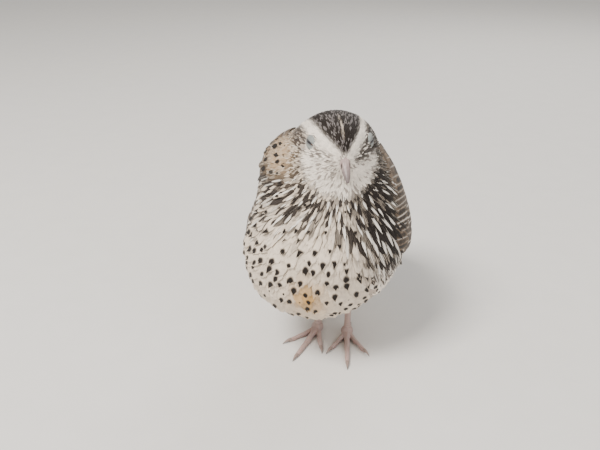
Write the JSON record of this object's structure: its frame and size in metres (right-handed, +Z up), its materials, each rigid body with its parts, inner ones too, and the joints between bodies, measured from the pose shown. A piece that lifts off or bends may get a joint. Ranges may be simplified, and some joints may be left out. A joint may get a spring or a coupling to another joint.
{
  "type": "coturnix quail",
  "caption": "Life-size still model of a fluffed female coturnix quail standing with its neck drawn in and its head turned to its left.",
  "frame": {"origin": "on the floor, under the middle of the bird's own box", "axes": "+Z up, the bird faces -Y, its left side is at +X, its tail points to +Y"},
  "size_m": [0.0784, 0.1296, 0.1185],
  "materials": {
    "breast_plumage": "cream feathers with dark spots and white shaft streaks, matt",
    "head_plumage": "short feathers, white on the face, dark grey-brown on the crown, matt",
    "wing_feathers": "dark grey-brown feathers with cream shaft streaks and bars, matt",
    "bill_horn": "pinkish grey horn, satin",
    "claw_horn": "brownish grey horn, satin",
    "leg_skin": "pinkish scaled skin, satin",
    "eye": "wet, dark brown"
  },
  "bodies": {
    "root": {"torso": "breast_plumage", "neck": "breast_plumage", "head": "head_plumage", "bill_upper": "bill_horn", "bill_lower": "bill_horn", "eye_left": "eye", "eye_right": "eye", "wing_left": "wing_feathers", "wing_right": "wing_feathers", "tail": "wing_feathers", "thigh_left": "breast_plumage", "thigh_right": "breast_plumage", "shank_left": "leg_skin", "shank_right": "leg_skin", "foot_left": "leg_skin", "foot_right": "leg_skin", "claw_left_inner": "claw_horn", "claw_left_middle": "claw_horn", "claw_left_outer": "claw_horn", "claw_left_hind": "claw_horn", "claw_right_inner": "claw_horn", "claw_right_middle": "claw_horn", "claw_right_outer": "claw_horn", "claw_right_hind": "claw_horn"}
  },
  "joints": []
}
